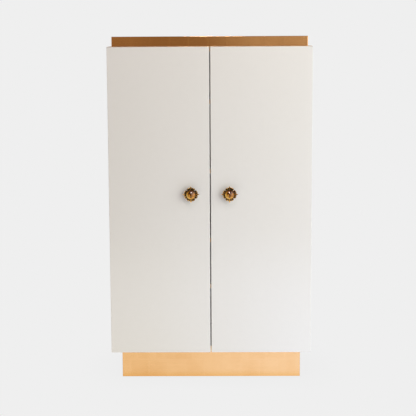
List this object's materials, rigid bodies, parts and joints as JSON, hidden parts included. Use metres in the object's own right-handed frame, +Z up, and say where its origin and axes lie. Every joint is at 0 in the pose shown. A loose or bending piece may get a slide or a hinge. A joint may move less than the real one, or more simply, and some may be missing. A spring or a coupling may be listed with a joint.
{
  "type": "two-door apothecary cabinet",
  "caption": "Tall ivory-lacquered storage cabinet with gilded crown and plinth, overlay doors on concealed hinges, inner shelves and flower-and-stone knobs.",
  "frame": {"origin": "centre of the whole cabinet's bounding box, knobs included, on the floor", "axes": "+Z up, -Y to the front (the doors and knobs), +X to the right as seen from the front"},
  "size_m": [0.889, 0.501, 1.524],
  "materials": {
    "ivory_lacquer": "board in polished ivory lacquer, with a gilded front edge inside the doors",
    "ivory_satin": "board in satin ivory lacquer, with a gilded front edge on the shelves",
    "gold_leaf": "gold leaf laid in squares over board, sealed to a soft gloss",
    "knob_brass": "polished cast brass, darkened in its hollows",
    "amber_glass": "faceted amber glass, polished, foil-backed",
    "nickel_plate": "nickel plate on pressed steel",
    "pin_steel": "turned steel",
    "bumper_rubber": "translucent soft polyurethane",
    "glide_nylon": "black nylon"
  },
  "bodies": {
    "cabinet": {"back_panel": "ivory_satin", "bottom_panel": "ivory_lacquer", "crown": "gold_leaf", "glide_back_left": "glide_nylon", "glide_back_right": "glide_nylon", "glide_front_left": "glide_nylon", "glide_front_right": "glide_nylon", "hinge_arm_bottom_left": "nickel_plate", "hinge_arm_bottom_right": "nickel_plate", "hinge_arm_middle_left": "nickel_plate", "hinge_arm_middle_right": "nickel_plate", "hinge_arm_top_left": "nickel_plate", "hinge_arm_top_right": "nickel_plate", "hinge_plate_bottom_left": "nickel_plate", "hinge_plate_bottom_right": "nickel_plate", "hinge_plate_middle_left": "nickel_plate", "hinge_plate_middle_right": "nickel_plate", "hinge_plate_top_left": "nickel_plate", "hinge_plate_top_right": "nickel_plate", "plinth_back": "gold_leaf", "plinth_front": "gold_leaf", "plinth_left": "gold_leaf", "plinth_right": "gold_leaf", "shelf_lower_adjustable": "ivory_satin", "shelf_middle_fixed": "ivory_satin", "shelf_pin_lower_back_left": "pin_steel", "shelf_pin_lower_back_right": "pin_steel", "shelf_pin_lower_front_left": "pin_steel", "shelf_pin_lower_front_right": "pin_steel", "shelf_pin_top_back_left": "pin_steel", "shelf_pin_top_back_right": "pin_steel", "shelf_pin_top_front_left": "pin_steel", "shelf_pin_top_front_right": "pin_steel", "shelf_top_adjustable": "ivory_satin", "shelf_upper_fixed": "ivory_satin", "side_panel_left": "ivory_lacquer", "side_panel_right": "ivory_lacquer", "top_panel": "ivory_lacquer"},
    "left_door": {"door_bumper_bottom_left": "bumper_rubber", "door_bumper_top_left": "bumper_rubber", "door_left": "ivory_lacquer", "hinge_cup_bottom_left": "nickel_plate", "hinge_cup_middle_left": "nickel_plate", "hinge_cup_top_left": "nickel_plate", "knob_claws_left": "knob_brass", "knob_rosette_left": "knob_brass", "knob_screw_left": "nickel_plate", "knob_star_left": "knob_brass", "knob_stone_left": "amber_glass"},
    "right_door": {"door_bumper_bottom_right": "bumper_rubber", "door_bumper_top_right": "bumper_rubber", "door_right": "ivory_lacquer", "hinge_cup_bottom_right": "nickel_plate", "hinge_cup_middle_right": "nickel_plate", "hinge_cup_top_right": "nickel_plate", "knob_claws_right": "knob_brass", "knob_rosette_right": "knob_brass", "knob_screw_right": "nickel_plate", "knob_star_right": "knob_brass", "knob_stone_right": "amber_glass"}
  },
  "joints": [
    {"name": "left_door_hinge", "type": "hinge", "parent": "cabinet", "child": "left_door", "pos_m": [-0.4375, -0.1925, 0.803], "axis": [0, 0, -1], "range_deg": [0, 110]},
    {"name": "right_door_hinge", "type": "hinge", "parent": "cabinet", "child": "right_door", "pos_m": [0.4375, -0.1925, 0.803], "axis": [0, 0, 1], "range_deg": [0, 110]}
  ]
}
